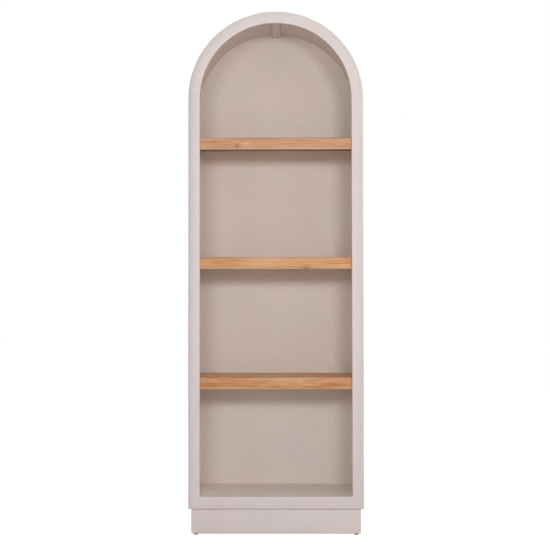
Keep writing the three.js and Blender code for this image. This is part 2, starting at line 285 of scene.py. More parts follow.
def add_arc(name, depth, steps):
    """The bare line of the arch's outer edge, from springing to springing"""
    piece = new_piece(
        name, bpy.ops.mesh.primitive_circle_add, vertices=steps, radius=HALF_WIDTH, fill_type="NOTHING",
        location=(0, depth, SPRINGING), rotation=(math.pi / 2, 0, 0))
    edit(piece)
    pick("verts", lambda co: co.z < SPRINGING - NEAR)
    bpy.ops.mesh.delete(type="VERT")
    return piece


def add_arched_face(name, depth, steps):
    """The flat outline of the whole case, filled"""
    piece = add_arc(name, depth, steps)
    pick("verts", lambda co: co.z < SPRINGING + NEAR)
    extrude(0, 0, CASE_BOTTOM - SPRINGING)
    pick("verts", lambda co: co.z < CASE_BOTTOM + NEAR)
    bpy.ops.mesh.edge_face_add()
    bpy.ops.mesh.select_all(action="SELECT")
    bpy.ops.mesh.edge_face_add()
    return piece


def edge_distance(co):
    """How far a point lies inside the outline of the case"""
    if co.z > SPRINGING:
        return HALF_WIDTH - math.hypot(co.x, co.z - SPRINGING)
    return min(HALF_WIDTH - abs(co.x), co.z - CASE_BOTTOM)


def round_edges(wanted, radius, segments):
    """Bevel the edges that lie where they are wanted"""
    pick("edges", wanted)
    bpy.ops.mesh.bevel(offset=radius, segments=segments, affect="EDGES")


# Material helpers


def empty_tree(owner):
    """The node tree of a new material or world, with nothing in it"""
    owner.use_nodes = True
    owner.node_tree.nodes.clear()
    return owner.node_tree


def new_material(name):
    """The parts of an empty material: its tree, its principled shader and the object coordinates"""
    tree = empty_tree(bpy.data.materials.new(name))
    shader = tree.nodes.new("ShaderNodeBsdfPrincipled")
    place = tree.nodes.new("ShaderNodeTexCoord")
    add_node(tree, "OutputMaterial", {"Surface": shader.outputs["BSDF"]})
    return tree, shader, place.outputs["Object"]


def new_group(name, inputs, outputs):
    """A node group with named inputs, each with its kind and default, and named float outputs"""
    tree = bpy.data.node_groups.new(name, "ShaderNodeTree")
    for label, kind, default in inputs:
        socket = tree.interface.new_socket(name=label, in_out="INPUT", socket_type=f"NodeSocket{kind}")
        if default is not None:
            socket.default_value = default
    for label in outputs:
        tree.interface.new_socket(name=label, in_out="OUTPUT", socket_type="NodeSocketFloat")
    return tree, tree.nodes.new("NodeGroupInput").outputs, tree.nodes.new("NodeGroupOutput").inputs


def feed(tree, socket, value):
    """Set a socket, or link it where the value is another node's output"""
    if isinstance(value, bpy.types.NodeSocket):
        tree.links.new(value, socket)
    else:
        socket.default_value = value


def add_node(tree, kind, inputs, **settings):
    node = tree.nodes.new(f"ShaderNode{kind}")
    for name, value in settings.items():
        setattr(node, name, value)
    for name, value in inputs.items():
        feed(tree, node.inputs[name], value)
    return node


def feed_shader(tree, shader, colour, roughness, normal):
    """Link a finish's colour, roughness and relief to its shader"""
    feed(tree, shader.inputs["Base Color"], colour)
    feed(tree, shader.inputs["Roughness"], roughness)
    feed(tree, shader.inputs["Normal"], normal)


def math_node(tree, operation, *values, clamp=False):
    inputs = dict(enumerate(values))
    return add_node(tree, "Math", inputs, operation=operation, use_clamp=clamp).outputs[0]


def add_up(tree, *weighted):
    """The sum of some masks, each with its weight"""
    total = 0.0
    for mask, weight in weighted:
        total = math_node(tree, "MULTIPLY_ADD", mask, weight, total)
    return total


def vector_math(tree, operation, first, second):
    node = add_node(tree, "VectorMath", {0: first, 1: second}, operation=operation)
    return node.outputs["Value" if operation == "DISTANCE" else "Vector"]


def axes(tree, vector):
    """The X, Y and Z of a place"""
    return add_node(tree, "SeparateXYZ", {"Vector": vector}).outputs


def map_range(tree, value, low, high, new_low=0.0, new_high=1.0, smooth=True):
    """Turn one span of values into another, evenly or with soft ends"""
    inputs = {"Value": value, "From Min": low, "From Max": high, "To Min": new_low, "To Max": new_high}
    kind = "SMOOTHSTEP" if smooth else "LINEAR"
    return add_node(tree, "MapRange", inputs, interpolation_type=kind).outputs["Result"]


def rgba(colour):
    """A colour's four values, or the output that carries it"""
    return colour if isinstance(colour, bpy.types.NodeSocket) else (*colour, 1)


def mix_colours(tree, share, first, second, blend="MIX"):
    node = add_node(tree, "Mix", {}, data_type="RGBA", blend_type=blend)
    feed(tree, node.inputs[0], share)
    feed(tree, node.inputs[6], rgba(first))
    feed(tree, node.inputs[7], rgba(second))
    return node.outputs[2]


def noise(tree, vector, scale, detail, roughness):
    inputs = {"Vector": vector, "Scale": scale, "Detail": detail, "Roughness": roughness}
    return add_node(tree, "TexNoise", inputs).outputs["Fac"]


def stretch(tree, vector, scale=(1, 1, 1), place=(0, 0, 0), turn=(0, 0, 0)):
    inputs = {"Vector": vector, "Location": place, "Rotation": turn, "Scale": scale}
    return add_node(tree, "Mapping", inputs).outputs["Vector"]


def bump(tree, height, distance, strength):
    inputs = {"Height": height, "Distance": distance, "Strength": strength}
    return add_node(tree, "Bump", inputs).outputs["Normal"]


def place_group(tree, group, inputs):
    """Put a node group into a material, with its own values"""
    node = tree.nodes.new("ShaderNodeGroup")
    node.node_tree = group
    for name, value in inputs.items():
        feed(tree, node.inputs[name], value)
    return node.outputs


# Effects that several materials share


def build_brushwork():
    """Clouds and fine brush strokes of a thin mineral paint"""
    tree, inputs, outputs = new_group(
        "brushwork",
        [("Vector", "Vector", None), ("Stroke", "Vector", (150, 150, 9)), ("Cross", "Vector", (12, 12, 150))],
        ["Cloud", "Warmth", "Stroke", "Height"])
    place = inputs["Vector"]
    feed(tree, outputs["Cloud"], noise(tree, place, scale=5, detail=3, roughness=0.55))
    elsewhere = stretch(tree, place, place=(3, 5, 7))
    feed(tree, outputs["Warmth"], noise(tree, elsewhere, scale=4, detail=3, roughness=0.6))
    along = vector_math(tree, "MULTIPLY", place, inputs["Stroke"])
    across = vector_math(tree, "MULTIPLY", place, inputs["Cross"])
    streaks = add_up(
        tree, (noise(tree, along, scale=1, detail=2, roughness=0.6), 0.35),
        (noise(tree, across, scale=1, detail=2, roughness=0.6), 0.2),
        (noise(tree, place, scale=75, detail=3, roughness=0.6), 0.45))
    speckle = noise(tree, place, scale=900, detail=2, roughness=0.6)
    feed(tree, outputs["Stroke"], streaks)
    feed(tree, outputs["Height"], math_node(tree, "MULTIPLY_ADD", speckle, 0.35, streaks))
    return tree


def drawn_out(tree, place, along, across, detail, roughness):
    """Noise drawn out along X, by how many marks a metre has along and across the grain"""
    return noise(tree, stretch(tree, place, (along, across, across)), 1, detail, roughness)


def build_grain():
    """Growth rings and fibres along X, which flow round a knot, far off unless a finish places it"""
    tree, inputs, outputs = new_group(
        "straight_grain",
        [("Vector", "Vector", None), ("Offset", "Vector", (0, 0, 0)), ("Spacing", "Float", 6 * MILLIMETRE),
         ("Heart", "Vector", (9, 9, 9))],
        ["Late wood", "Fibre", "Board", "Streak", "Knot"])
    away = vector_math(tree, "SUBTRACT", inputs["Vector"], inputs["Heart"])
    away = vector_math(tree, "MULTIPLY", away, (0.55, 1, 1))
    distance = vector_math(tree, "DISTANCE", away, (0, 0, 0))
    bulge = map_range(tree, distance, 0.0, 25 * MILLIMETRE, 7 * MILLIMETRE, 0.0)
    place = vector_math(tree, "ADD", inputs["Vector"], inputs["Offset"])
    waver = drawn_out(tree, place, 1.6, 7, 2, 0.5)
    height = axes(tree, stretch(tree, place, turn=(0.35, 0, 0)))["Z"]
    across = math_node(tree, "MULTIPLY_ADD", waver, 35 * MILLIMETRE, height)
    across = math_node(tree, "ADD", across, bulge)
    turns = math_node(tree, "MULTIPLY", math_node(tree, "DIVIDE", across, inputs["Spacing"]), 2 * math.pi)
    rings = map_range(tree, math_node(tree, "SINE", turns), -0.2, 1.0)
    fibre = drawn_out(tree, place, 11, 620, 3, 0.6)
    coarse = drawn_out(tree, place, 3.4, 150, 2, 0.5)
    late = math_node(tree, "MULTIPLY", rings, map_range(tree, coarse, 0.3, 0.7, 0.35, 1.0))
    feed(tree, outputs["Late wood"], late)
    feed(tree, outputs["Fibre"], add_up(tree, (fibre, 0.5), (coarse, 0.5)))
    feed(tree, outputs["Board"], drawn_out(tree, place, 6, 44, 3, 0.55))
    feed(tree, outputs["Streak"], drawn_out(tree, place, 12, 230, 3, 0.65))
    halo = map_range(tree, distance, 4 * MILLIMETRE, 16 * MILLIMETRE, 0.32, 0.0)
    heart = map_range(tree, distance, 2 * MILLIMETRE, 5.2 * MILLIMETRE, 0.92, 0.0)
    feed(tree, outputs["Knot"], math_node(tree, "MAXIMUM", halo, heart))
    return tree


def build_scuff():
    """Fine cloudy scuffs of metal and plastic"""
    tree, inputs, outputs = new_group(
        "fine_scuff", [("Vector", "Vector", None), ("Scale", "Float", 900.0)], ["Cloud", "Height"])
    feed(tree, outputs["Cloud"], noise(tree, inputs["Vector"], 160, 3, 0.6))
    feed(tree, outputs["Height"], noise(tree, inputs["Vector"], inputs["Scale"], 3, 0.6))
    return tree


# Finishes


def round_ring(tree, place):
    """Places measured up the stiles and on round the arch, so that strokes follow the face frame"""
    parted = axes(tree, place)
    side = math_node(tree, "SIGN", parted["X"])
    across = math_node(tree, "ABSOLUTE", parted["X"])
    rise = math_node(tree, "SUBTRACT", parted["Z"], SPRINGING)
    above = math_node(tree, "MAXIMUM", rise, 0.0)
    below = math_node(tree, "MINIMUM", rise, 0.0)
    squares = [math_node(tree, "POWER", reach, 2.0) for reach in (across, above)]
    radius = math_node(tree, "SQRT", math_node(tree, "ADD", *squares))
    turned = math_node(tree, "MULTIPLY", math_node(tree, "ARCTAN2", above, across), HALF_WIDTH)
    along = math_node(tree, "ADD", turned, below)
    depth = math_node(tree, "ADD", parted["Y"], side)
    return add_node(tree, "CombineXYZ", {"X": radius, "Y": depth, "Z": along}).outputs["Vector"]


def make_limewash(name, brushwork, coat, stroke, cross, ring=False):
    """Thin mineral paint over wood, with its brush strokes along one way and fainter ones across it"""
    colours = bpy.context.scene.bookcase_finishes
    tree, shader, place = new_material(name)
    if ring:
        place = round_ring(tree, place)
    marks = place_group(tree, brushwork, {"Vector": place, "Stroke": stroke, "Cross": cross})
    warm = map_range(tree, marks["Warmth"], 0.38, 0.62)
    tint = mix_colours(tree, warm, colours.paint_cool, colours.paint_warm)
    coat = mix_colours(tree, 1.0, coat, tint, "MULTIPLY")
    tone = map_range(tree, marks["Stroke"], 0.3, 0.7, 0.94, 1.05, smooth=False)
    tone = math_node(tree, "MULTIPLY", tone, map_range(tree, marks["Cloud"], 0.3, 0.7, 0.985, 1.012))
    shade = add_node(tree, "CombineColor", {"Red": tone, "Green": tone, "Blue": tone}).outputs["Color"]
    feed_shader(
        tree, shader, mix_colours(tree, 1.0, coat, shade, "MULTIPLY"),
        map_range(tree, marks["Stroke"], 0.2, 0.8, 0.44, 0.54),
        bump(tree, marks["Height"], 0.12 * MILLIMETRE, 0.6))
    shader.inputs["Specular IOR Level"].default_value = 0.5


def make_pine(name, grain, offset, cast, contrast, knot=None, edges=None, band_shares=None):
    """Oiled pine. A nosing gives the heights of its edges, how strong the painted highlight on its lower edge
    is and how dark its upper edge is
    """
    colours = bpy.context.scene.bookcase_finishes
    tree, shader, place = new_material(name)
    inputs = {"Vector": place, "Offset": offset, "Spacing": 7.5 * MILLIMETRE}
    if knot:
        inputs["Heart"] = knot
    wood = place_group(tree, grain, inputs)
    share = 0.55
    for mark, weight in (("Board", contrast), ("Streak", contrast), ("Fibre", 0.7), ("Late wood", 0.35)):
        centred = math_node(tree, "SUBTRACT", wood[mark], 0.5)
        share = math_node(tree, "MULTIPLY_ADD", centred, weight, share, clamp=mark == "Late wood")
    colour = mix_colours(tree, share, colours.pine, colours.pine_dark)
    colour = mix_colours(tree, 1.0, colour, cast, "MULTIPLY")
    if edges:
        colour = paint_nosing_edges(tree, place, colour, edges, band_shares)
    colour = mix_colours(tree, wood["Knot"], colour, colours.knot)
    feed_shader(
        tree, shader, colour, map_range(tree, wood["Fibre"], 0.2, 0.8, 0.42, 0.56),
        bump(tree, wood["Fibre"], 0.18 * MILLIMETRE, 0.6))
    shader.inputs["Specular IOR Level"].default_value = 0.4


def paint_nosing_edges(tree, place, colour, edges, band_shares):
    """A nosing's lower edge lightened as a painted highlight, its upper edge darkened, and its underside
    darkened as painted shade
    """
    colours = bpy.context.scene.bookcase_finishes
    height = axes(tree, place)["Z"]
    low, high = edges
    highlight_share, darkening_share = band_shares
    bands = (
        # A painted highlight along the rounded lower edge
        (low + 2 * MILLIMETRE, low + 6 * MILLIMETRE, highlight_share, 0.0, colours.pine_worn),
        # A darker band along the upper edge
        (high - 5 * MILLIMETRE, high - 1 * MILLIMETRE, 0.0, darkening_share, colours.pine_dark),
        # Painted shade on the underside
        (low, low + 0.5 * MILLIMETRE, 1.0, 0.0, colours.pine_under))
    for start, end, first, last, tone in bands:
        colour = mix_colours(tree, map_range(tree, height, start, end, first, last), colour, tone)
    return colour


def make_raw_wood(name, grain, turn):
    """Unfinished softwood whose grain runs along X, Y or Z by its turn"""
    colours = bpy.context.scene.bookcase_finishes
    tree, shader, place = new_material(name)
    turned = stretch(tree, place, turn=turn)
    wood = place_group(tree, grain, {"Vector": turned})
    share = add_up(tree, (wood["Fibre"], 0.5), (wood["Late wood"], 0.5))
    feed_shader(
        tree, shader, mix_colours(tree, share, colours.raw_wood, colours.raw_wood_dark),
        map_range(tree, wood["Fibre"], 0.2, 0.8, 0.75, 0.9),
        bump(tree, wood["Fibre"], 0.3 * MILLIMETRE, 0.8))


def make_zinc(scuff):
    """Zinc plating with dull clouds"""
    colour = bpy.context.scene.bookcase_finishes.steel
    tree, shader, place = new_material("zinc")
    marks = place_group(tree, scuff, {"Vector": place, "Scale": 1400.0})
    dull = tuple(channel * 0.72 for channel in colour)
    feed_shader(
        tree, shader, mix_colours(tree, map_range(tree, marks["Cloud"], 0.35, 0.7), colour, dull),
        map_range(tree, marks["Cloud"], 0.3, 0.7, 0.28, 0.48),
        bump(tree, marks["Height"], 0.04 * MILLIMETRE, 0.5))
    shader.inputs["Metallic"].default_value = 1.0


def make_plastic(scuff):
    """Dark moulded plastic with a little dust"""
    colour = bpy.context.scene.bookcase_finishes.plastic
    tree, shader, place = new_material("dark_plastic")
    marks = place_group(tree, scuff, {"Vector": place, "Scale": 2400.0})
    dusty = tuple(channel * 0.8 + 0.006 for channel in colour)
    feed_shader(
        tree, shader, mix_colours(tree, map_range(tree, marks["Cloud"], 0.4, 0.75), colour, dusty),
        map_range(tree, marks["Cloud"], 0.3, 0.7, 0.72, 0.86),
        bump(tree, marks["Height"], 0.06 * MILLIMETRE, 0.6))
    shader.inputs["Specular IOR Level"].default_value = 0.12


# Operators for the finishes, for each piece or group of like pieces, and for the stage


class BOOKCASE_OT_finishes(bpy.types.Operator):
    """Make the finishes and give them to the frame's own pieces"""

    bl_idname = "bookcase.finishes"
    bl_label = "Finishes"

    def execute(self, context):
        colours = context.scene.bookcase_finishes
        brushwork, grain, scuff = build_brushwork(), build_grain(), build_scuff()
        self.make_limewashes(brushwork, colours)
        quarter = math.pi / 2
        make_raw_wood("raw_wood_level", grain, (0, 0, 0))
        make_raw_wood("raw_wood_deep", grain, (0, 0, quarter))
        make_raw_wood("raw_wood_upright", grain, (0, quarter, 0))
        make_pine("pine_boards", grain, (0.4, 0.2, 0.1), (1.09, 1.13, 1.1), 1.6)
        self.make_nosing_finishes(grain)
        make_zinc(scuff)
        make_plastic(scuff)
        for name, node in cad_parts.items():
            node.data.materials.clear()
            node.data.materials.append(bpy.data.materials[self.finish_for(name)])
        return {"FINISHED"}

    def make_limewashes(self, brushwork, colours):
        """The paint of each part of the case, by how fine its strokes are along X, Y and Z"""
        upright, level = (140, 140, 18), (18, 18, 140)
        make_limewash("limewash_upright", brushwork, colours.paint, upright, level, ring=True)
        make_limewash("limewash_level", brushwork, colours.paint, level, upright)
        make_limewash("limewash_inside", brushwork, colours.paint_inside, upright, level)
        make_limewash("limewash_arch", brushwork, colours.paint_inside, (6, 34, 6), (70, 70, 70))
        # The deck gets a lighter copy of the inside paint, as painted light on its upward face
        make_limewash("limewash_deck", brushwork, colours.paint_deck_lit, (18, 140, 140), (140, 18, 140))

    def make_nosing_finishes(self, grain):
        """Each nosing has its own run of grain, and two have a knot, given by its place and its rise"""
        runs = {
            # The last pair: how strong the painted highlight on the lower edge is, and how dark the upper
            # band is
            "lower_shelf": ((0.9, 0.31, 0.13), (0.96, 0.86, 0.74), 2.1, (0.5, 0.0)),
            "middle_shelf": ((2.6, 0.07, 0.41), (1.04, 0.97, 0.82), 1.5, (0.7, 0.2)),
            "upper_shelf": ((4.1, 0.53, 0.22), (0.97, 0.95, 0.96), 1.3, (0.85, 0.7))}
        knots = {
            "middle_shelf": (123 * MILLIMETRE, 2.2 * MILLIMETRE),
            "upper_shelf": (-157 * MILLIMETRE, 14 * MILLIMETRE)}
        for shelf, (offset, cast, contrast, band_shares) in runs.items():
            low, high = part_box(f"{shelf}_nosing")
            knot = None
            if shelf in knots:
                place, rise = knots[shelf]
                knot = (place, low.y, low.z + rise)
            make_pine(f"pine_{shelf}", grain, offset, cast, contrast, knot, (low.z, high.z), band_shares)

    def finish_for(self, name):
        """The finish of a frame node, by the first of these starts that its name has"""
        starts = {
            "side_wall": "limewash_inside", "frame_cleat": "limewash_inside",
            "deck_bearer_left": "raw_wood_deep", "deck_bearer_right": "raw_wood_deep",
            "deck_bearer": "raw_wood_level", "deck": "limewash_deck", "corner_block": "raw_wood_upright",
            "foot_insert": "zinc", "foot_stem": "zinc", "foot_pad": "dark_plastic",
            **{shelf: "pine_boards" for shelf in SHELVES}}
        fitting = (finish for start, finish in starts.items() if name.startswith(start))
        return next(fitting, "limewash_upright")


class BOOKCASE_OT_face_frame(bpy.types.Operator):
    """Model the rounded face frame in one piece, from the outline of the case"""

    bl_idname = "bookcase.face_frame"
    bl_label = "Face frame"

    def execute(self, context):
        shapes = context.scene.bookcase_shapes
        front = FRAME_LOW.y
        piece = add_arched_face("face_frame", front, shapes.arch_steps)
        self.cut_opening()
        self.round_shoulder(shapes, front)
        round_edges(lambda co: at(co.y, front) and at(co.z, RAIL_TOP), shapes.rail_round, segments=6)
        opening = FRAME_WIDTH - NEAR
        round_edges(
            lambda co: at(co.y, front) and edge_distance(co) > opening and co.z > RAIL_TOP - NEAR,
            shapes.inner_round, segments=6)
        leave_edit()
        dress(piece, "limewash_upright", replaced=FRAME_NODES)
        return {"FINISHED"}

    def cut_opening(self):
        """Leave a ring as wide as a stile, and bring the rail to its own height"""
        bpy.ops.mesh.inset(thickness=FRAME_WIDTH, use_even_offset=True)
        bpy.ops.mesh.delete(type="FACE")
        rail = CASE_BOTTOM + FRAME_WIDTH
        pick("verts", lambda co: at(co.z, rail))
        shift(0, 0, RAIL_TOP - rail)

    def round_shoulder(self, shapes, front):
        """Extrude the ring too deep, round its outer edge, and press both flat into an elliptic curve"""
        flatness = shapes.shoulder_depth / shapes.shoulder_width
        bpy.ops.mesh.select_all(action="SELECT")
        extrude(0, (FRAME_HIGH.y - front) / flatness, 0)
        close_up()
        border = FRAME_WIDTH / 2
        round_edges(
            lambda co: at(co.y, front) and edge_distance(co) < border, shapes.shoulder_width, segments=12)
        bpy.ops.mesh.select_all(action="SELECT")
        bpy.ops.transform.resize(value=(1, flatness, 1), center_override=(0, front, 0))


class BOOKCASE_OT_arch_lining(bpy.types.Operator):
    """Bend the wall behind the arch, as one sheet with its thickness inside"""

    bl_idname = "bookcase.arch_lining"
    bl_label = "Arch lining"

    def execute(self, context):
        shapes = context.scene.bookcase_shapes
        low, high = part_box("arch_wall_right")
        piece = add_arc("arch_lining", low.y, shapes.arch_steps)
        bpy.ops.mesh.select_all(action="SELECT")
        extrude(0, high.y - low.y, 0)
        close_up()
        leave_edit()
        apply_modifier(piece, "SOLIDIFY", thickness=WALL, offset=-1, use_even_offset=True)
        dress(piece, "limewash_arch", replaced=("arch_wall_left", "arch_wall_right"))
        return {"FINISHED"}


class BOOKCASE_OT_back_panel(bpy.types.Operator):
    """Cut the back panel to the outline of the case and round its rear edge"""

    bl_idname = "bookcase.back_panel"
    bl_label = "Back panel"

    def execute(self, context):
        shapes = context.scene.bookcase_shapes
        rear = CASE_HIGH.y - shapes.screw_rise
        piece = add_arched_face("back_panel_smooth", CASE_LOW.y, shapes.arch_steps)
        extrude(0, rear - CASE_LOW.y, 0)
        close_up()
        round_edges(lambda co: at(co.y, rear), shapes.rear_round, segments=4)
        leave_edit()
        dress(piece, "limewash_inside", replaced=("back_panel",))
        return {"FINISHED"}


class BOOKCASE_OT_crown_batten(bpy.types.Operator):
    """Shape the batten under the joint at the crown, with its lower edges eased"""

    bl_idname = "bookcase.crown_batten"
    bl_label = "Crown batten"

    def execute(self, context):
        shapes = context.scene.bookcase_shapes
        low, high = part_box("crown_batten")
        piece = add_board("crown_batten_eased", low, high)
        edit(piece)
        round_edges(lambda co: at(co.z, low.z), shapes.eased, segments=3)
        leave_edit()
        dress(piece, "limewash_inside", replaced=("crown_batten",))
        return {"FINISHED"}


class BOOKCASE_OT_shelf_nosings(bpy.types.Operator):
    """Shape the thick front of each shelf, rounded at the front and sanded at its ends"""

    bl_idname = "bookcase.shelf_nosings"
    bl_label = "Shelf nosings"

    def execute(self, context):
        shapes = context.scene.bookcase_shapes
        for shelf in SHELVES:
            low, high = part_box(f"{shelf}_nosing")
            piece = add_board(f"{shelf}_front", low, high)
            edit(piece)
            for height in (low.z, high.z):
                round_edges(lambda co: at(co.y, low.y) and at(co.z, height), shapes.nosing_round, segments=5)
            for end in (low.x, high.x):
                round_edges(lambda co: at(co.x, end), shapes.eased, segments=2)
            leave_edit()
            dress(piece, f"pine_{shelf}", replaced=(f"{shelf}_nosing",))
        return {"FINISHED"}


class BOOKCASE_OT_plinth(bpy.types.Operator):
    """Model the plinth as a ring of boards with rounded corners"""

    bl_idname = "bookcase.plinth"
    bl_label = "Plinth"

    def execute(self, context):
        shapes = context.scene.bookcase_shapes
        low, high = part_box("plinth_front")[0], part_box("plinth_rear")[1]
        piece = add_board("plinth_ring", low, high)
        edit(piece)
        round_edges(lambda co: abs(co.x) > high.x / 2, shapes.plinth_round, segments=6)
        leave_edit()
        self.hollow(piece, low, high, shapes.plinth_board)
        self.ease(piece, low, high, shapes)
        dress(piece, "limewash_level", replaced=PLINTH_NODES)
        return {"FINISHED"}

    def hollow(self, piece, low, high, board):
        """Cut the hollow between the boards, with a core that runs past them above and below"""
        margin = Vector((board, board, -board))
        core = add_board("plinth_hollow", low + margin, high - margin)
        apply_modifier(piece, "BOOLEAN", object=core, operation="DIFFERENCE", solver="EXACT")
        bpy.data.objects.remove(core)

    def ease(self, piece, low, high, shapes):
        """Ease the outer edges above and below"""
        inner = shapes.plinth_board - NEAR
        edit(piece)
        for height in (low.z, high.z):
            round_edges(
                lambda co: at(co.z, height) and (abs(co.x) > high.x - inner or abs(co.y) > high.y - inner),
                shapes.plinth_ease, segments=4)
        leave_edit()


class BOOKCASE_OT_feet(bpy.types.Operator):
    """Model one levelling foot, a moulded pad on a threaded stem, and copy it to each corner"""

    bl_idname = "bookcase.feet"
    bl_label = "Levelling feet"

    def execute(self, context):
        shapes = context.scene.bookcase_shapes
        pad, stem = self.model_pad(), self.model_stem(shapes)
        for corner in CORNERS:
            low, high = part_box(f"foot_pad_{corner}")
            middle = Vector(((low.x + high.x) / 2, (low.y + high.y) / 2, 0))
            body = f"{corner}_foot"
            own_pad = copy_piece(pad, f"pad_{corner}", middle)
            dress(own_pad, "dark_plastic", body, (f"foot_pad_{corner}",))
            own_stem = copy_piece(stem, f"stem_{corner}", middle)
            dress(own_stem, "zinc", body, (f"foot_stem_{corner}",))
        bpy.data.objects.remove(pad)
        bpy.data.objects.remove(stem)
        return {"FINISHED"}

    def model_pad(self):
        """A round pad with a rounded rim, a sloping top and a collar round its stem"""
        low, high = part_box("foot_pad_front_left")
        radius, height = (high.x - low.x) / 2, high.z - low.z
        top_share = 8 / 9
        slope_width, slope_fall = 2.2 * MILLIMETRE, 1.1 * MILLIMETRE
        valley, collar_rise = 0.9 * MILLIMETRE, 0.9 * MILLIMETRE
        collar_wall, socket_depth = 1.7 * MILLIMETRE, 1.6 * MILLIMETRE
        lower_round, upper_round = 1.2 * MILLIMETRE, 0.4 * MILLIMETRE
        piece = new_piece(
            "pad_model", bpy.ops.mesh.primitive_cylinder_add, vertices=40, radius=radius, depth=height,
            location=(0, 0, height / 2))
        edit(piece)
        pick("faces", lambda co: at(co.z, height))
        bpy.ops.transform.resize(value=(top_share, top_share, 1))
        bpy.ops.mesh.inset(thickness=slope_width)
        shift(0, 0, -slope_fall)
        bpy.ops.mesh.inset(thickness=valley)
        extrude(0, 0, collar_rise)
        bpy.ops.mesh.inset(thickness=collar_wall)
        extrude(0, 0, -socket_depth)
        round_edges(lambda co: at(co.z, 0), lower_round, segments=4)
        round_edges(lambda co: at(co.z, height) and co.xy.length > radius / 2, upper_round, segments=3)
        leave_edit()
        return piece

    def model_stem(self, shapes):
        """A core with a helical thread wound round it"""
        low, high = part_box("foot_stem_front_left")
        radius, length = (high.x - low.x) / 2, high.z - low.z
        core = radius - shapes.thread_depth
        tip_round = 0.6 * MILLIMETRE
        piece = new_piece(
            "stem_model", bpy.ops.mesh.primitive_cylinder_add, vertices=28, radius=core, depth=length,
            location=(0, 0, low.z + length / 2))
        edit(piece)
        round_edges(lambda co: at(co.z, high.z), tip_round, segments=3)
        leave_edit()
        thread = self.wind_thread(shapes.thread_pitch, core, radius, low.z, length)
        hold(piece)
        thread.select_set(True)
        bpy.ops.object.join()
        return piece

    def wind_thread(self, pitch, core, radius, foot, length):
        """A ridge of triangular section, turned and raised together, that starts a turn above the foot"""
        turns = int((length - 3 * pitch) / pitch)
        root = core - 0.1 * MILLIMETRE
        upper_share, crest_share, lower_share = 0.84, 0.5, 0.16
        piece = new_piece(
            "thread_model", bpy.ops.mesh.primitive_circle_add,
            vertices=3, radius=pitch, fill_type="NOTHING")
        section = ((root, upper_share), (radius, crest_share), (root, lower_share))
        for vertex, (reach, share) in zip(piece.data.vertices, section):
            vertex.co = (reach, 0, foot + pitch * (1 + share))
        apply_modifier(
            piece, "SCREW", angle=2 * math.pi, screw_offset=pitch, iterations=turns,
            steps=20, render_steps=20)
        edit(piece)
        bpy.ops.mesh.select_mode(type="VERT")
        bpy.ops.mesh.select_non_manifold()
        bpy.ops.mesh.fill_holes(sides=0)
        close_up()
        leave_edit()
        return piece


class BOOKCASE_OT_screws(bpy.types.Operator):
    """Model one flat-headed screw and set copies round the back panel and into the shelves"""

    bl_idname = "bookcase.screws"
    bl_label = "Back panel screws"

    def execute(self, context):
        shapes = context.scene.bookcase_shapes
        screw = self.model_screw(shapes)
        for index, (x, z) in enumerate(self.places(shapes)):
            piece = copy_piece(screw, f"panel_screw_{index + 1:02d}", (x, CASE_HIGH.y, z))
            dress(piece, "zinc")
        bpy.data.objects.remove(screw)
        return {"FINISHED"}

    def model_screw(self, shapes):
        """A shallow head with a six-lobed socket, whose top is at the origin"""
        head_depth, socket_depth = 1.4 * MILLIMETRE, 0.9 * MILLIMETRE
        edge_share, rim_share, socket_share, lobe_share = 0.9, 0.45, 0.5, 0.72
        socket = shapes.screw_head * socket_share

        def between_lobes(co):
            """True where the socket's outline dips in between two of its six lobes"""
            return at(co.y, 0) and co.length < socket and math.cos(6 * math.atan2(co.z, co.x)) < 0.1

        piece = new_piece(
            "screw_model", bpy.ops.mesh.primitive_cylinder_add, vertices=24, radius=shapes.screw_head,
            depth=head_depth, location=(0, -head_depth / 2, 0), rotation=(-math.pi / 2, 0, 0))
        edit(piece)
        round_edges(lambda co: at(co.y, 0), shapes.screw_rise * edge_share, segments=2)
        pick("faces", lambda co: at(co.y, 0))
        bpy.ops.mesh.inset(thickness=shapes.screw_head * rim_share)
        pick("verts", between_lobes)
        bpy.ops.transform.resize(value=(lobe_share, 1, lobe_share))
        pick("faces", lambda co: at(co.y, 0) and co.length < socket)
        extrude(0, -socket_depth, 0)
        leave_edit()
        return piece

    def places(self, shapes):
        """Up both walls and round the arch, along the foot, and three into each shelf"""
        spots = self.wall_places(HALF_WIDTH - shapes.screw_inset) + self.arch_places()
        heights = [CASE_BOTTOM + 12 * MILLIMETRE]
        for shelf in SHELVES:
            low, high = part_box(f"{shelf}_board")
            heights.append((low.z + high.z) / 2)
        spread = 200 * MILLIMETRE
        return spots + [(x, height) for height in heights for x in (-spread, 0, spread)]

    def wall_places(self, reach):
        """Nine pairs, from above the plinth to below the springing"""
        rows = 9
        first, last = CASE_BOTTOM + 50 * MILLIMETRE, SPRINGING - 40 * MILLIMETRE
        heights = [first + (last - first) * row / (rows - 1) for row in range(rows)]
        return [(x, height) for height in heights for x in (-reach, reach)]

    def arch_places(self):
        """Seven in the middle of the arched wall's edge, evenly round it"""
        count = 7
        radius = HALF_WIDTH - WALL / 2
        angles = [math.pi * (step + 1) / (count + 1) for step in range(count)]
        return [(radius * math.cos(angle), SPRINGING + radius * math.sin(angle)) for angle in angles]


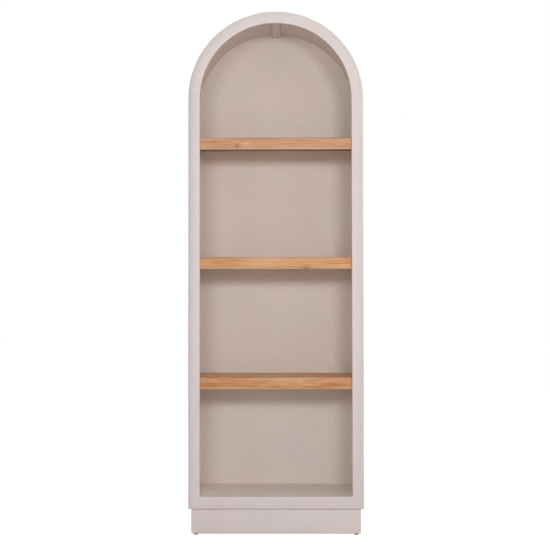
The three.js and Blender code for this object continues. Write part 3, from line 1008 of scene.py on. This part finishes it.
class BOOKCASE_OT_studio(bpy.types.Operator):
    """Set up the floor, the white surroundings, the lamps and the camera"""

    bl_idname = "bookcase.studio"
    bl_label = "Studio"

    def execute(self, context):
        studio = context.scene.bookcase_studio
        self.lay_floor(studio)
        self.light_world(context.scene, studio)
        self.hang_lamps(studio)
        self.add_camera(context.scene, studio)
        context.scene.view_settings.view_transform = "Standard"
        return {"FINISHED"}

    def hang_lamps(self, studio):
        """Each lamp by its place, the height that it aims at, its power, its size and its colour"""
        cool, white, warm, amber = (0.96, 0.975, 1), (1, 1, 1), (1, 0.97, 0.9), (1, 0.93, 0.77)
        height = studio.key_height
        lamps = (
            ("key_left", (-0.7, -5.15, height), height, studio.key_left, (1.0, 0.52), cool),
            ("key_right", (0.86, -5.15, height), height, studio.key_right, (0.8, 0.52), cool),
            ("low", (0, -4.3, 0.5), 1.5, studio.low, (1.6, 1.6), amber),
            ("wide_left", (-3.2, -4.0, 1.6), 1.2, studio.wide, (1.2, 1.2), white),
            ("wide_right", (3.2, -4.0, 1.6), 1.2, studio.wide, (1.2, 1.2), white),
            ("right", (4.2, -2.4, 1.6), 1.2, studio.right, (1.6, 1.6), white),
            ("canopy", (0.1, -2.4, 3.7), 1.2, studio.canopy, (2.2, 2.2), warm),
            ("upper", (4.0, -1.6, 3.6), 1.2, studio.upper, (1.6, 1.6), warm),
            ("overhead", (0, -1.6, 4.6), 1.0, studio.overhead, (2.2, 2.2), warm),
            ("side_left", (-3.4, 1.6, 1.8), 1.1, studio.side, (2.0, 2.0), white),
            ("side_right", (3.4, 1.6, 1.8), 1.1, studio.side, (2.0, 2.0), white),
            ("rear", (-1.2, 4.2, 2.4), 1.1, studio.rear, (2.0, 2.0), white))
        for lamp in lamps:
            self.add_lamp(*lamp)

    def lay_floor(self, studio):
        """A wide pale floor, which is no part of the bookcase"""
        floor = new_piece("studio_floor", bpy.ops.mesh.primitive_plane_add, size=60)
        floor.data.materials.append(self.make_floor_white(studio))

    def make_floor_white(self, studio):
        """White far off and a little less so round the case, and clear when seen from below"""
        material = bpy.data.materials.new("studio_white")
        tree = empty_tree(material)
        matt = add_node(tree, "BsdfDiffuse", {"Color": (0.7, 0.7, 0.7, 1)})
        place = tree.nodes.new("ShaderNodeTexCoord").outputs["Object"]
        distance = vector_math(tree, "DISTANCE", place, (0, 0, 0))
        near, far = 1.0, 3.0
        lift = map_range(tree, distance, near, far, studio.floor_lift, 1.0)
        glow = add_node(tree, "Emission", {"Strength": lift})
        lifted = add_node(tree, "AddShader", {0: matt.outputs[0], 1: glow.outputs[0]})
        chosen = add_node(
            tree, "MixShader", {0: self.seen_rays(tree), 1: matt.outputs[0], 2: lifted.outputs[0]})
        clear = tree.nodes.new("ShaderNodeBsdfTransparent")
        below = tree.nodes.new("ShaderNodeNewGeometry").outputs["Backfacing"]
        chosen = add_node(tree, "MixShader", {0: below, 1: chosen.outputs[0], 2: clear.outputs[0]})
        add_node(tree, "OutputMaterial", {"Surface": chosen.outputs[0]})
        return material

    def seen_rays(self, tree):
        """1 for what the camera sees, straight or through a reflection"""
        rays = tree.nodes.new("ShaderNodeLightPath").outputs
        mirrored = math_node(tree, "MAXIMUM", rays["Is Glossy Ray"], rays["Is Transmission Ray"])
        return math_node(tree, "MAXIMUM", rays["Is Camera Ray"], mirrored)

    def light_world(self, scene, studio):
        """White surroundings for the camera, and a faint even light for everything else"""
        scene.world = bpy.data.worlds.new("studio_surroundings")
        tree = empty_tree(scene.world)
        even = add_node(tree, "Background", {"Color": (1, 1, 1, 1), "Strength": studio.ambient})
        white = add_node(tree, "Background", {"Color": (1, 1, 1, 1), "Strength": 1.0})
        chosen = add_node(
            tree, "MixShader", {0: self.seen_rays(tree), 1: even.outputs[0], 2: white.outputs[0]})
        add_node(tree, "OutputWorld", {"Surface": chosen.outputs[0]})

    def add_lamp(self, name, place, aim, power, size, colour):
        """A softbox that faces the middle of the bookcase at the height of its aim"""
        lamp = bpy.data.lights.new(name, "AREA")
        lamp.shape = "RECTANGLE"
        lamp.size, lamp.size_y = size
        lamp.energy = power
        lamp.color = colour
        stand = bpy.data.objects.new(name, lamp)
        stand.location = place
        stand.rotation_euler = (Vector((0, 0, aim)) - Vector(place)).to_track_quat("-Z", "Y").to_euler()
        bpy.context.collection.objects.link(stand)

    def add_camera(self, scene, studio):
        view = bpy.data.cameras.new("camera")
        view.lens = studio.lens
        view.sensor_width = 36
        camera = bpy.data.objects.new("camera", view)
        camera.location = studio.camera_place
        camera.rotation_euler = studio.camera_turn
        bpy.context.collection.objects.link(camera)
        scene.camera = camera


class BOOKCASE_PT_sidebar(bpy.types.Panel):
    """The bookcase's sizes, finishes, lamps and steps"""

    bl_idname = "BOOKCASE_PT_sidebar"
    bl_label = "Arched bookcase"
    bl_space_type = "VIEW_3D"
    bl_region_type = "UI"
    bl_category = "Bookcase"

    def draw(self, context):
        scene = context.scene
        for group in (scene.bookcase_shapes, scene.bookcase_finishes, scene.bookcase_studio):
            column = self.layout.column()
            for name in group.bl_rna.properties.keys():
                if name not in ("rna_type", "name"):
                    column.prop(group, name)
        for step in STEPS:
            self.layout.operator(step.bl_idname)


STEPS = (
    BOOKCASE_OT_finishes, BOOKCASE_OT_face_frame, BOOKCASE_OT_arch_lining, BOOKCASE_OT_back_panel,
    BOOKCASE_OT_crown_batten, BOOKCASE_OT_shelf_nosings, BOOKCASE_OT_plinth, BOOKCASE_OT_feet,
    BOOKCASE_OT_screws, BOOKCASE_OT_studio)
CLASSES = (BookcaseShapes, BookcaseFinishes, BookcaseStudio, *STEPS, BOOKCASE_PT_sidebar)


def register():
    for made in CLASSES:
        bpy.utils.register_class(made)
    bpy.types.Scene.bookcase_shapes = PointerProperty(type=BookcaseShapes)
    bpy.types.Scene.bookcase_finishes = PointerProperty(type=BookcaseFinishes)
    bpy.types.Scene.bookcase_studio = PointerProperty(type=BookcaseStudio)


def unregister():
    del bpy.types.Scene.bookcase_studio
    del bpy.types.Scene.bookcase_finishes
    del bpy.types.Scene.bookcase_shapes
    for made in reversed(CLASSES):
        bpy.utils.unregister_class(made)


def main():
    register()
    for step in STEPS:
        group, name = step.bl_idname.split(".")
        getattr(getattr(bpy.ops, group), name)()


if __name__ == "__main__":
    main()
